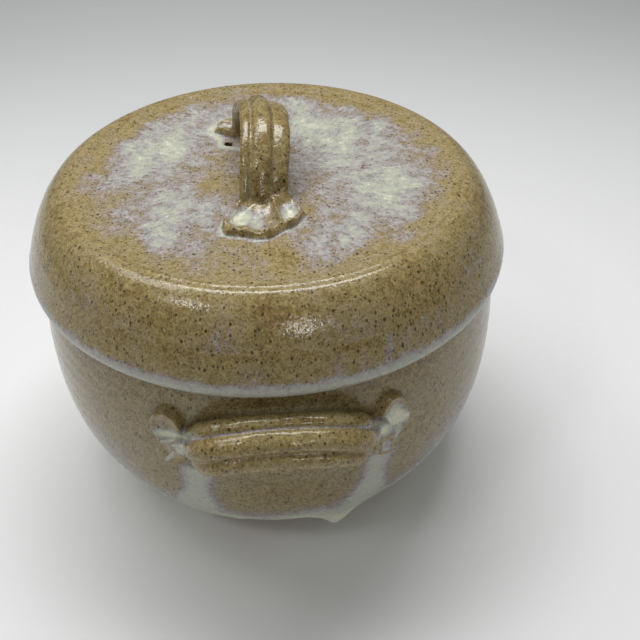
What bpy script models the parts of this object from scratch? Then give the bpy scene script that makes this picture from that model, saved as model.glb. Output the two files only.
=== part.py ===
"""A lidded stoneware casserole.

It has a thrown bowl with two strap handles, and a cap lid with an arched strap handle.
Metres, +Z up. The origin is on the table, on the bowl's axis. The front handle is towards -Y.
"""

from math import cos, pi, radians, sin

import bmesh
import bpy
from mathutils import Vector
from mathutils.geometry import interpolate_bezier

# Bowl: radii from the axis, heights from the table.
RIM_HEIGHT = 0.1387
RIM_RADIUS = 0.1189
RIM_THICKNESS = 0.0072
BASE_THICKNESS = 0.0100
WALL_LENGTH = 0.1463
WALL_LEAN_AT_RIM = radians(-7.5)
WALL_LEAN_AT_FOOT = radians(67)
WALL_CURL = 2.32
WALL_STEPS = 15
FOOT_WIDTH = 0.0080
FOOT_CHAMFER = 0.0015
FOOT_RECESS = 0.0050
FOOT_STEP = 0.0012
FLOOR_RISE = 0.0040
FLOOR_DISH = 0.0008
FLOOR_FILLET = 0.0120

# Lid: its seat lies on the bowl's rim, with the gap that keeps two touching solids apart.
GAP = 0.0003
LID_RADIUS = 0.1250
LID_RISE = 0.0383
LID_BULGE_HEIGHT = 0.0030
LID_EDGE_RADIUS = 0.1238
LID_EDGE_DROP = 0.0012
LIP_RADIUS = 0.0979
LIP_SLOPE_WIDTH = 0.0030
LIP_ROUNDING = 0.0009
DISC_SINK = 0.0025
DISC_THICKNESS = 0.0085
SHOULDER_FULLNESS = 0.61
SHOULDER_CROWN = 0.0006
SHOULDER_UPRIGHT = 0.0012
SHOULDER_STEPS = 9
UNDER_FLAT_RADIUS = 0.0842
UNDER_CORNER_RADIUS = 0.0980
UNDER_CUT = 0.0155
UNDER_CUT_HEIGHT = 0.0130
UNDER_STEPS = 7
SEAT_WIDTH = 0.0080
FLANGE_RADIUS = 0.1080
FLANGE_THICKNESS = 0.0055
FLANGE_DEPTH = 0.0120
FLANGE_ROUNDING = 0.0012
VENT_RADIUS = 0.0020
VENT_PLACE = (-0.0194, 0.0299)

# Straps: one ribbed section for all three handles.
STRAP_WIDTH = 0.0245
STRAP_THICKNESS = 0.0095
RIB_DEPTH = 0.0022
BROAD_RIB = 0.46
NARROW_RIB_HEIGHT = 0.7
SECTION_STEPS = 6
STRAP_STEPS = 12
PAD_SHARE = 0.16

# The strap's flat back, from its edge to near its middle: (across, out) as in strap_section.
STRAP_BACK = ((1, 0.13), (0.92, -0.25), (0.65, -0.46))

# A pad is where a strap's end is thumbed down: how much wider and thicker it gets,
# and how far it is pushed out.
LID_PAD = {"wider": 0.55, "thicker": 2.10, "shift": 0.0105}
SIDE_PAD = {"wider": 0.12, "thicker": 0.80, "shift": 0.0040}

# Lid handle: an arch across the lid.
ARCH_CENTRE = (-0.0015, 0.0052)
ARCH_HALF_SPAN = 0.0370
ARCH_RISE = 0.0288

# Side handles: a loop that leaves the wall sideways and climbs to just under the lid.
SIDE_ROOT_ANGLE = radians(24)
SIDE_ROOT_HEIGHT = 0.1045
SIDE_ROOT_SINK = 0.0020
SIDE_ROOT_REACH = 0.0200
SIDE_ROOT_CLIMB = 0.0080
SIDE_APEX_OUT = 0.1345
SIDE_APEX_HEIGHT = 0.1220
SIDE_APEX_TANGENT = 0.0440
SIDE_APEX_TILT = radians(46)

ROUND_STEPS = 48


def clear_scene():
    for obj in list(bpy.data.objects):
        bpy.data.objects.remove(obj, do_unlink=True)


def glazed(name, colour, roughness=0.22):
    material = bpy.data.materials.new(name)
    material.use_nodes = True
    shader = material.node_tree.nodes["Principled BSDF"]
    shader.inputs["Base Color"].default_value = (*colour, 1)
    shader.inputs["Roughness"].default_value = roughness
    shader.inputs["Metallic"].default_value = 0
    return material


def add_object(name, mesh, material):
    obj = bpy.data.objects.new(name, mesh)
    bpy.context.scene.collection.objects.link(obj)
    mesh.materials.append(material)
    mesh.shade_smooth()
    mesh.set_sharp_from_angle(angle=radians(40))
    return obj


def mesh_from(bm, name):
    bmesh.ops.remove_doubles(bm, verts=bm.verts, dist=1e-6)
    bmesh.ops.recalc_face_normals(bm, faces=bm.faces)
    mesh = bpy.data.meshes.new(name)
    bm.to_mesh(mesh)
    bm.free()
    return mesh


def turned(name, outline):
    """A solid of revolution from an outline of (radius, height) points."""
    bm = bmesh.new()
    corners = [bm.verts.new((radius, 0, height)) for radius, height in outline]
    edges = [bm.edges.new(pair) for pair in zip(corners, corners[1:])]
    bmesh.ops.spin(
        bm,
        geom=corners + edges,
        axis=(0, 0, 1),
        cent=(0, 0, 0),
        steps=ROUND_STEPS,
        angle=2 * pi,
        use_merge=True,
    )
    return mesh_from(bm, name)


def wall_lean(share):
    """How far the wall leans in from upright, at this share of its length from the rim."""
    return WALL_LEAN_AT_RIM + (WALL_LEAN_AT_FOOT - WALL_LEAN_AT_RIM) * share**WALL_CURL


def wall_line(offset_at_rim=0.0, offset_at_foot=0.0):
    """The bowl's wall from rim to foot: it leans out a little, then curls in ever faster.

    The offsets move the line out along its normal.
    """
    radius, height = RIM_RADIUS, RIM_HEIGHT
    line = []
    for step in range(WALL_STEPS + 1):
        share = step / WALL_STEPS
        if step:
            lean = wall_lean(share - 0.5 / WALL_STEPS)
            radius -= sin(lean) * WALL_LENGTH / WALL_STEPS
            height -= cos(lean) * WALL_LENGTH / WALL_STEPS
        offset = offset_at_rim + (offset_at_foot - offset_at_rim) * share
        line.append((radius + offset * cos(wall_lean(share)), height - offset * sin(wall_lean(share))))
    return line


def bowl_outline():
    outside = wall_line()
    wall_end, foot_top = outside[-1]
    foot_outer = wall_end - FOOT_STEP
    foot_inner = foot_outer - FOOT_WIDTH
    floor = FOOT_RECESS + BASE_THICKNESS
    inside = wall_line(-RIM_THICKNESS, -BASE_THICKNESS)[1:]
    inside = [(radius, height) for radius, height in inside if height > floor + FLOOR_RISE]
    return [
        (0, floor),
        (inside[-1][0] - FLOOR_FILLET, floor + FLOOR_DISH),
        *reversed(inside),
        (RIM_RADIUS - RIM_THICKNESS, RIM_HEIGHT),
        *outside,
        (foot_outer, foot_top - FOOT_STEP),
        (foot_outer, FOOT_CHAMFER),
        (foot_outer - FOOT_CHAMFER, 0),
        (foot_inner, 0),
        (foot_inner - FOOT_CHAMFER, FOOT_RECESS),
        (0, FOOT_RECESS),
    ]


def curve(start, start_handle, end_handle, end, steps):
    """Points of a Bezier curve in the (radius, height) plane, both ends included."""
    knots = [Vector((radius, height)) for radius, height in (start, start_handle, end_handle, end)]
    return [tuple(point) for point in interpolate_bezier(*knots, steps + 1)]


def lid_outline():
    seat = RIM_HEIGHT + GAP
    crest = seat + LID_RISE
    disc = crest - DISC_SINK
    bulge = seat + LID_BULGE_HEIGHT
    shoulder = curve(
        (LIP_RADIUS, crest),
        (LIP_RADIUS + SHOULDER_FULLNESS * (LID_RADIUS - LIP_RADIUS), crest + SHOULDER_CROWN),
        (LID_RADIUS, bulge + SHOULDER_UPRIGHT),
        (LID_RADIUS, bulge),
        SHOULDER_STEPS,
    )
    flange_inner = FLANGE_RADIUS - FLANGE_THICKNESS
    flange_bottom = seat - FLANGE_DEPTH
    under_disc = disc - DISC_THICKNESS
    under = curve(
        (UNDER_FLAT_RADIUS, under_disc),
        (UNDER_CORNER_RADIUS, under_disc),
        (flange_inner + UNDER_CUT, seat + UNDER_CUT_HEIGHT),
        (flange_inner, seat),
        UNDER_STEPS,
    )
    return [
        (0, disc),
        (LIP_RADIUS - LIP_SLOPE_WIDTH, disc),
        (LIP_RADIUS - LIP_ROUNDING, crest - LIP_ROUNDING / 2),
        *shoulder,
        (LID_EDGE_RADIUS, seat - LID_EDGE_DROP / 2),
        (LID_EDGE_RADIUS - LID_EDGE_DROP, seat - LID_EDGE_DROP),
        (RIM_RADIUS + LID_EDGE_DROP, seat - LID_EDGE_DROP),
        (RIM_RADIUS, seat),
        (RIM_RADIUS - SEAT_WIDTH, seat),
        (FLANGE_RADIUS, seat - FLANGE_ROUNDING),
        (FLANGE_RADIUS, flange_bottom + FLANGE_ROUNDING),
        (FLANGE_RADIUS - FLANGE_ROUNDING, flange_bottom),
        (flange_inner + FLANGE_ROUNDING, flange_bottom),
        *reversed(under),
        (0, under_disc),
    ]


def helper(name, mesh):
    """A guide or cutter, which isn't part of the object."""
    obj = bpy.data.objects.new(name, mesh)
    bpy.context.scene.collection.objects.link(obj)
    obj.hide_render = True
    obj.display_type = "WIRE"
    return obj


def cut(obj, cutter):
    boolean = obj.modifiers.new("cut", "BOOLEAN")
    boolean.operation = "DIFFERENCE"
    boolean.object = cutter


def vent_cutter():
    bm = bmesh.new()
    bmesh.ops.create_cone(
        bm, cap_ends=True, segments=16, radius1=VENT_RADIUS, radius2=VENT_RADIUS, depth=4 * DISC_THICKNESS
    )
    cutter = helper("vent_cutter", mesh_from(bm, "vent_cutter"))
    cutter.location = (*VENT_PLACE, RIM_HEIGHT + GAP + LID_RISE - DISC_SINK)
    return cutter


def strap_section():
    """Outline of the strap as (across, out) shares of half its width and of its thickness.

    The face has a broad rib between two narrow ones, each half an ellipse, with a groove between them.
    """
    narrow = (1 - BROAD_RIB) / 2
    groove = 0.5 - RIB_DEPTH / STRAP_THICKNESS
    face = []
    ribs = (
        (narrow - 1, narrow, NARROW_RIB_HEIGHT),
        (0, BROAD_RIB, 1),
        (1 - narrow, narrow, NARROW_RIB_HEIGHT),
    )
    for middle, half_width, height in ribs:
        for step in range(SECTION_STEPS):
            angle = pi * step / SECTION_STEPS
            face.append((middle - half_width * cos(angle), groove + (0.5 - groove) * height * sin(angle)))
    mirrored = [(-across, out) for across, out in reversed(STRAP_BACK)]
    return [*face[1:], *STRAP_BACK, (0, -0.5), *mirrored]


def sweep_strap(name, places, pad):
    """A closed strap through (centre, across, out, swell) places.

    Where swell is above 0, the section spreads into the strap's pad.
    """
    bm = bmesh.new()
    section = strap_section()
    rings = []
    for centre, across, out, swell in places:
        ring = []
        for share_across, share_out in section:
            sideways = share_across * STRAP_WIDTH / 2 * (1 + pad["wider"] * swell)
            outwards = share_out * STRAP_THICKNESS * (1 + pad["thicker"] * swell) + pad["shift"] * swell
            ring.append(bm.verts.new(centre + across * sideways + out * outwards))
        rings.append(ring)
    for ring, following in zip(rings, rings[1:]):
        for corner in range(len(section)):
            after = (corner + 1) % len(section)
            bm.faces.new((ring[corner], ring[after], following[after], following[corner]))
    bm.faces.new(rings[0])
    bm.faces.new(reversed(rings[-1]))
    return mesh_from(bm, name)


def foot_swell(share):
    """How far the strap has spread into its pad, from 1 at either end to 0 along the rest of it."""
    from_end = min(share, 1 - share)
    return max(0.0, 1 - from_end / PAD_SHARE) ** 2


def lid_handle_places():
    disc = RIM_HEIGHT + GAP + LID_RISE - DISC_SINK
    foot = Vector((*ARCH_CENTRE, disc + GAP))
    across = Vector((1, 0, 0))
    places = []
    for step in range(2 * STRAP_STEPS + 1):
        share = step / (2 * STRAP_STEPS)
        angle = pi * share
        centre = foot + Vector((0, -ARCH_HALF_SPAN * cos(angle), ARCH_RISE * sin(angle)))
        out = Vector((0, -ARCH_RISE * cos(angle), ARCH_HALF_SPAN * sin(angle))).normalized()
        places.append((centre, across, out, foot_swell(share)))
    return places


def side_handle_half():
    """Centres of the loop from its +X root to its apex."""
    beside = Vector((sin(SIDE_ROOT_ANGLE), -cos(SIDE_ROOT_ANGLE), 0))
    wall = max(radius for radius, height in wall_line() if height < SIDE_ROOT_HEIGHT)
    root = beside * (wall - SIDE_ROOT_SINK) + Vector((0, 0, SIDE_ROOT_HEIGHT))
    leaving = root + beside * SIDE_ROOT_REACH + Vector((0, 0, SIDE_ROOT_CLIMB))
    apex = Vector((0, -SIDE_APEX_OUT, SIDE_APEX_HEIGHT))
    arriving = apex + Vector((SIDE_APEX_TANGENT, 0, 0))
    return interpolate_bezier(root, leaving, arriving, apex, STRAP_STEPS + 1)


def side_handle_places():
    half = side_handle_half()
    mirrored = [Vector((-point.x, point.y, point.z)) for point in reversed(half[:-1])]
    centres = half + mirrored
    upright = Vector((0, 0, 1))
    tilted = Vector((0, sin(SIDE_APEX_TILT), cos(SIDE_APEX_TILT)))
    last = len(centres) - 1
    places = []
    for step, centre in enumerate(centres):
        share = step / last
        along = (centres[min(step + 1, last)] - centres[max(step - 1, 0)]).normalized()
        across = upright.lerp(tilted, sin(pi * share))
        across = (across - along * across.dot(along)).normalized()
        places.append((centre, across, across.cross(along).normalized(), foot_swell(share)))
    return places


def wall_cutter():
    """The bowl's outer shape, grown by the gap, so that a handle ends just short of the wall."""
    grown = wall_line(GAP, GAP)
    top = RIM_HEIGHT + RIM_THICKNESS
    outline = [(0, top), (grown[0][0], top), *grown, (0, grown[-1][1])]
    return helper("wall_cutter", turned("wall_cutter", outline))


def build():
    clear_scene()
    add_object("pot_body", turned("pot_body", bowl_outline()), glazed("body_glaze", (0.36, 0.25, 0.14)))
    lid = add_object("lid", turned("lid", lid_outline()), glazed("lid_glaze", (0.46, 0.33, 0.19)))
    cut(lid, vent_cutter())
    arch = sweep_strap("lid_handle", lid_handle_places(), LID_PAD)
    add_object("lid_handle", arch, glazed("lid_handle_glaze", (0.42, 0.29, 0.15)))
    cutter = wall_cutter()
    for name, turn in (("side_handle_front", 0), ("side_handle_rear", pi)):
        loop = sweep_strap(name, side_handle_places(), SIDE_PAD)
        handle = add_object(name, loop, glazed(name + "_glaze", (0.38, 0.27, 0.15)))
        handle.rotation_euler.z = turn
        cut(handle, cutter)


build()
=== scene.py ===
"""The looks of a lidded stoneware casserole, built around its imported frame.

Metres, +Z up, with the front handle towards -Y. An azimuth is an angle round the pot's axis,
from the front towards +X. A profile is an outline of (radius, height) points, which is turned
round the axis.
"""

from math import cos, pi, radians, sin

import bmesh
import bpy
import numpy as np
from mathutils import Matrix, Vector


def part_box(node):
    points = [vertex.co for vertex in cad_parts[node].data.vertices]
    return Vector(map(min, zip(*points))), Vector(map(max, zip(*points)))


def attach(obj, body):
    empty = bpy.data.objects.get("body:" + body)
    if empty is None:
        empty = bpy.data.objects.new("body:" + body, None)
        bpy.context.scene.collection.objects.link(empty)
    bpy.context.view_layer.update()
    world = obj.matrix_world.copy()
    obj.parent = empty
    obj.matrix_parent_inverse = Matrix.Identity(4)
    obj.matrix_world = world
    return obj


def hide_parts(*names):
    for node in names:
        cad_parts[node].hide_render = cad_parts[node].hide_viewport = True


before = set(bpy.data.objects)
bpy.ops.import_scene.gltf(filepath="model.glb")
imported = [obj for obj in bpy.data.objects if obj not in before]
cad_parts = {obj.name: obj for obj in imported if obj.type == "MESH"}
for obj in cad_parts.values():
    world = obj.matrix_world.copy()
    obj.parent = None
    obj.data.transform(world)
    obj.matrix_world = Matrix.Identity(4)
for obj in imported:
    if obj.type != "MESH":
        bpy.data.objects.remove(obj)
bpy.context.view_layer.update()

MM = 0.001
GAP = 0.3 * MM

# Places and sizes that the frame gives.
_, pot_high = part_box("pot_body")
lid_low, lid_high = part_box("lid")
arch_low, arch_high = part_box("lid_handle")
RIM_Z = pot_high.z
SEAT_Z = RIM_Z + GAP
CREST_Z = lid_high.z
DISC_Z = arch_low.z - GAP
LID_RADIUS = lid_high.x
FLANGE_Z = lid_low.z

# Bowl, as in the frame: below the rim the wall swells out a little, then curls in towards the foot.
RIM_RADIUS = 118.9 * MM
RIM_THICKNESS = 7.2 * MM
BASE_THICKNESS = 10 * MM
WALL_LENGTH = 146.3 * MM
WALL_LEAN_AT_RIM = radians(-7.5)
WALL_LEAN_AT_FOOT = radians(67)
WALL_CURL = 2.32
FOOT_WIDTH = 8 * MM
FOOT_RECESS = 5 * MM
FOOT_STEP = 1.2 * MM
FLOOR_Z = FOOT_RECESS + BASE_THICKNESS

# Lid, as in the frame.
LIP_RADIUS = 97.9 * MM
BULGE_Z = SEAT_Z + 3 * MM
BULGE_RADIUS = LID_RADIUS - 0.4 * MM
DISC_THICKNESS = 8.5 * MM
FLANGE_RADIUS = 108 * MM
FLANGE_THICKNESS = 5.5 * MM
VENT = Vector((-19.4 * MM, 29.9 * MM, DISC_Z))
VENT_RADIUS = 2 * MM

# The mesh of a turned piece: its columns, and how far apart its rings are.
AROUND = 400
PROFILE_STEP = 1.7 * MM
FINE_STEP = 0.2 * MM

# How many waves make up a random field.
WAVES = 28


# ---- profiles


def wall_lean(share):
    """Angle of the wall from upright, at a share of its length from the rim."""
    return WALL_LEAN_AT_RIM + (WALL_LEAN_AT_FOOT - WALL_LEAN_AT_RIM) * share**WALL_CURL


def wall_line(offset_at_rim=0.0, offset_at_foot=0.0, steps=150):
    """The bowl's wall from rim to foot. The offsets move it out along its normal."""
    middles = (np.arange(steps) + 0.5) / steps
    length = WALL_LENGTH / steps
    radius = RIM_RADIUS - np.r_[0, np.cumsum(np.sin(wall_lean(middles)) * length)]
    height = RIM_Z - np.r_[0, np.cumsum(np.cos(wall_lean(middles)) * length)]
    share = np.linspace(0, 1, steps + 1)
    offset = offset_at_rim + (offset_at_foot - offset_at_rim) * share
    lean = wall_lean(share)
    return np.c_[radius + offset * np.cos(lean), height - offset * np.sin(lean)]


WALL = wall_line()


def wall_radius(height):
    """Radius of the bowl's outer wall at a height."""
    return np.interp(height, WALL[::-1, 1], WALL[::-1, 0])


def rounded(corners, steps=8):
    """A polyline through (radius, height, rounding in mm) corners, each made an arc-like bend."""
    points = [np.array(corner[:2]) for corner in corners]
    line = [points[0]]
    for before, corner, after, (_, _, rounding) in zip(points, points[1:], points[2:], corners[1:]):
        if not rounding:
            line.append(corner)
            continue
        back = before - corner
        ahead = after - corner
        start = corner + back * min(rounding * MM / np.linalg.norm(back), 0.5)
        end = corner + ahead * min(rounding * MM / np.linalg.norm(ahead), 0.5)
        for t in np.linspace(0, 1, steps):
            line.append((1 - t) ** 2 * start + 2 * t * (1 - t) * corner + t * t * end)
    line.append(points[-1])
    return np.array(line)


def resampled(line, step, fineness=None):
    """The same line with points about one step apart, or closer where fineness(middles) is above 1."""
    pieces = np.diff(line, axis=0)
    parts = np.maximum(1, np.round(np.hypot(*pieces.T) / FINE_STEP).astype(int))
    fine = [
        start + (end - start) * np.linspace(0, 1, count, endpoint=False)[:, None]
        for start, end, count in zip(line, line[1:], parts)
    ]
    line = np.vstack([*fine, line[-1:]])
    lengths = np.hypot(*np.diff(line, axis=0).T)
    if fineness:
        lengths = lengths * fineness((line[1:] + line[:-1]) / 2)
    run = np.r_[0, np.cumsum(lengths)]
    wanted = np.linspace(0, run[-1], int(round(run[-1] / step)) + 1)
    return np.stack([np.interp(wanted, run, line[:, k]) for k in (0, 1)], 1)


def bezier(start, start_handle, end_handle, end, steps=60):
    """A cubic curve between two points, drawn towards two others."""
    t = np.linspace(0, 1, steps)[:, None]
    weights = ((1 - t) ** 3, 3 * (1 - t) ** 2 * t, 3 * (1 - t) * t**2, t**3)
    points = (start, start_handle, end_handle, end)
    return sum(weight * np.array(point) for weight, point in zip(weights, points))


def plain(points):
    """Points of a smooth curve as corners that need no rounding."""
    return [(radius, height, 0) for radius, height in points]


def bowl_profile():
    """From the middle of the floor, up the inside, over the rim, down the wall and in under the foot."""
    inside = wall_line(-RIM_THICKNESS, -BASE_THICKNESS)[4:]
    inside = inside[inside[:, 1] > FLOOR_Z + 5 * MM][::-1]
    wall_end, foot_top = WALL[-1]
    foot_outer = wall_end - FOOT_STEP
    foot_inner = foot_outer - FOOT_WIDTH
    corners = [
        (0, FLOOR_Z, 0),
        (inside[0][0] - 13 * MM, FLOOR_Z + 0.5 * MM, 10),
        *plain(inside),
        (RIM_RADIUS - RIM_THICKNESS, RIM_Z, 1.4),
        (RIM_RADIUS, RIM_Z, 1.2),
        *plain(WALL[2:-1]),
        (wall_end, foot_top, 0.8),
        (foot_outer, foot_top - FOOT_STEP, 0.8),
        (foot_outer, 0.0, 1.5),
        (foot_inner, 0.0, 1.0),
        (foot_inner - 1.5 * MM, FOOT_RECESS, 1.5),
        (0, FOOT_RECESS, 0),
    ]
    return resampled(rounded(corners), PROFILE_STEP)


def lid_profile():
    """From the middle of the disc, over the lip and the shoulder, then past the seat and the flange."""
    crest = CREST_Z - 0.15 * MM
    shoulder = bezier(
        (LIP_RADIUS, crest),
        (LIP_RADIUS + 0.61 * (BULGE_RADIUS - LIP_RADIUS), crest + 0.6 * MM),
        (BULGE_RADIUS, BULGE_Z + 1.2 * MM),
        (BULGE_RADIUS, BULGE_Z),
    )
    under_disc = DISC_Z - DISC_THICKNESS
    flange_inner = FLANGE_RADIUS - FLANGE_THICKNESS
    under = bezier(
        (84.2 * MM, under_disc),
        (98 * MM, under_disc),
        (flange_inner + 15.5 * MM, SEAT_Z + 13 * MM),
        (flange_inner, SEAT_Z),
    )
    corners = [
        (0, DISC_Z, 0),
        (62 * MM, DISC_Z, 20),
        (LIP_RADIUS - 6.9 * MM, DISC_Z + 0.9 * MM, 1.2),
        *plain(shoulder),
        (123.9 * MM, SEAT_Z - 0.9 * MM, 0.9),
        (121 * MM, SEAT_Z - 1.3 * MM, 1.0),
        (RIM_RADIUS + 0.5 * MM, SEAT_Z, 0.6),
        (FLANGE_RADIUS + 0.6 * MM, SEAT_Z, 0.8),
        (FLANGE_RADIUS, SEAT_Z - 1.2 * MM, 0.8),
        (FLANGE_RADIUS, FLANGE_Z, 1.6),
        (flange_inner, FLANGE_Z, 1.6),
        *plain(under[::-1]),
        (0, under_disc, 0),
    ]

    def fineness(middles):
        return 1 + 1.8 * bump(middles[:, 0], LIP_RADIUS, 8 * MM) * (middles[:, 1] > DISC_Z - 2 * MM)

    return resampled(rounded(corners), PROFILE_STEP, fineness)


# ---- fields


def bump(value, centre, width):
    """A bell curve, 1 at its centre."""
    return np.exp(-(((value - centre) / width) ** 2))


def ease(value, start, end):
    """0 up to start, 1 from end on, smooth between them. Start may be the larger one."""
    t = np.clip((value - start) / (end - start), 0, 1)
    return t * t * (3 - 2 * t)


def bump_mm(value, centre, width):
    return bump(value, centre * MM, width * MM)


def ease_mm(value, start, end):
    return ease(value, start * MM, end * MM)


def drift(points, size, seed):
    """A smooth random field of about -1 to 1, whose hills are about this many mm wide."""
    rng = np.random.default_rng(seed)
    directions = rng.normal(size=(WAVES, points.shape[1]))
    directions /= np.linalg.norm(directions, axis=1)[:, None]
    lengths = 2 * (size * MM) * rng.uniform(0.7, 1.6, WAVES)
    phases = rng.uniform(0, 2 * pi, WAVES)
    total = np.zeros(len(points))
    for direction, length, phase in zip(directions, lengths, phases):
        total += np.sin(points @ direction * (2 * pi / length) + phase)
    return total / np.sqrt(WAVES)


def polar(points):
    """(radius, azimuth) of points."""
    return np.hypot(points[:, 0], points[:, 1]), np.arctan2(points[:, 0], -points[:, 1])


def downhill(spin, azimuth, run):
    """A place in the flow of the glaze: round the axis at a radius of spin, and how far it ran."""
    return np.c_[spin * np.sin(azimuth), spin * np.cos(azimuth), run]


def turn_gap(azimuth, centre):
    """Signed angle from a centre, from -pi to pi."""
    return (azimuth - centre + pi) % (2 * pi) - pi


# ---- meshes


def mesh_of(bm, name):
    """Turns a bmesh into a mesh and frees it."""
    mesh = bpy.data.meshes.new(name)
    bm.to_mesh(mesh)
    bm.free()
    return mesh


def turned(name, profile, relief):
    """A closed turned solid. Relief gives how far each point is moved out along its normal."""
    tangent = np.gradient(profile, axis=0)
    tangent /= np.linalg.norm(tangent, axis=1)[:, None]
    normal = np.c_[-tangent[:, 1], tangent[:, 0]]
    rings = len(profile) - 2
    turn = np.tile(np.arange(AROUND) * (2 * pi / AROUND), rings)
    radius, height = np.repeat(profile[1:-1], AROUND, axis=0).T
    aside, upward = np.repeat(normal[1:-1], AROUND, axis=0).T
    out = relief(radius, height, turn, np.repeat(np.arange(1, rings + 1), AROUND))
    radius = radius + out * aside
    height = height + out * upward
    points = np.c_[radius * np.sin(turn), -radius * np.cos(turn), height]
    points = np.vstack([points, (0, 0, profile[0, 1]), (0, 0, profile[-1, 1])])
    first, last = len(points) - 2, len(points) - 1
    faces = []
    for ring in range(rings - 1):
        for step in range(AROUND):
            after = (step + 1) % AROUND
            here, below = ring * AROUND, (ring + 1) * AROUND
            faces.append((here + step, below + step, below + after, here + after))
    for step in range(AROUND):
        after = (step + 1) % AROUND
        faces.append((first, step, after))
        faces.append((last, (rings - 1) * AROUND + after, (rings - 1) * AROUND + step))
    mesh = bpy.data.meshes.new(name)
    mesh.from_pydata(points.tolist(), [], faces)
    mesh.validate()
    return mesh


def vectors_in(collection, name):
    flat = np.zeros(len(collection) * 3, np.float32)
    collection.foreach_get(name, flat)
    return flat.reshape(-1, 3).astype(float)


def coordinates(mesh):
    return vectors_in(mesh.vertices, "co")


def vertex_normals(mesh):
    return vectors_in(mesh.vertex_normals, "vector")


def set_coordinates(mesh, points):
    mesh.vertices.foreach_set("co", points.astype(np.float32).ravel())
    mesh.update()


def smoothed(mesh, values, rounds):
    """Values averaged with their neighbours' along the mesh's edges."""
    ends = np.zeros(len(mesh.edges) * 2, np.int32)
    mesh.edges.foreach_get("vertices", ends)
    one, other = ends.reshape(-1, 2).T
    size = len(values)
    count = np.bincount(one, minlength=size) + np.bincount(other, minlength=size)
    for _ in range(rounds):
        totals = [
            np.bincount(one, column[other], size) + np.bincount(other, column[one], size)
            for column in values.T
        ]
        values = 0.5 * values + 0.5 * np.stack(totals, 1) / count[:, None]
    return values


def convexity(mesh, rounds):
    """How far each vertex stands proud of its surroundings, along its normal, in metres."""
    points = coordinates(mesh)
    away = points - smoothed(mesh, points, rounds)
    return np.einsum("ij,ij->i", away, vertex_normals(mesh))


def evaluated(obj, name):
    """A plain mesh of an object with its modifiers applied. The object is removed."""
    depsgraph = bpy.context.evaluated_depsgraph_get()
    mesh = bpy.data.meshes.new_from_object(obj.evaluated_get(depsgraph))
    mesh.name = name
    bpy.data.objects.remove(obj, do_unlink=True)
    return mesh


def scene_object(name, data):
    obj = bpy.data.objects.new(name, data)
    bpy.context.scene.collection.objects.link(obj)
    return obj


def set_fields(mesh, flow, **fields):
    """Stores what the glaze reads at each vertex. A field that is left out counts as 0.

    Pool is the glaze's thickness, lowered in some places to paint shade, bare where there is none, calm
    where it lies smooth, and rise how far the surface stands proud. Flow is a place measured along and
    across the way the glaze ran.
    """
    for name, values in fields.items():
        attribute = mesh.attributes.new(name, "FLOAT", "POINT")
        attribute.data.foreach_set("value", values.astype(np.float32))
    attribute = mesh.attributes.new("flow", "FLOAT_VECTOR", "POINT")
    attribute.data.foreach_set("vector", flow.astype(np.float32).ravel())


def finished(name, mesh, body, node, material):
    """Puts a mesh in the scene as the piece that stands for a frame node."""
    mesh.materials.append(material)
    mesh.shade_smooth()
    obj = scene_object(name, mesh)
    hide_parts(node)
    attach(obj, body)


# ---- glaze

# Colours of the glaze from its thinnest to its thickest: (thickness, linear colour).
GLAZE_COLOURS = (
    # The near-black first stop is painted shade for the inside of the steam vent, whose pool is set below 0.
    (0.00, (0.022, 0.013, 0.006)),
    (0.06, (0.105, 0.056, 0.020)),
    (0.15, (0.270, 0.178, 0.062)),
    (0.30, (0.372, 0.288, 0.122)),
    (0.42, (0.365, 0.286, 0.162)),
    (0.54, (0.370, 0.310, 0.250)),
    (0.66, (0.405, 0.378, 0.380)),
    (0.78, (0.445, 0.450, 0.378)),
    (0.90, (0.515, 0.532, 0.425)),
    (1.00, (0.700, 0.700, 0.550)),
)
CLAY_COLOUR = (0.360, 0.215, 0.115)
DARK_CLAY_COLOUR = (0.26, 0.14, 0.07)
SPECK_COLOUR = (0.034, 0.022, 0.009)
FLECK_COLOUR = (0.235, 0.125, 0.048)
SPECK_STRETCH = 0.62
MOST_RISE = 0.15
GLAZE_ROUGHNESS = 0.155
CLAY_ROUGHNESS = 0.82
GLAZE_IOR = 1.5

# How thick the glaze lies where it is plainly tan, and where it has turned milky.
TAN_POOL = 0.36
MILKY_POOL = 0.84


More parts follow.
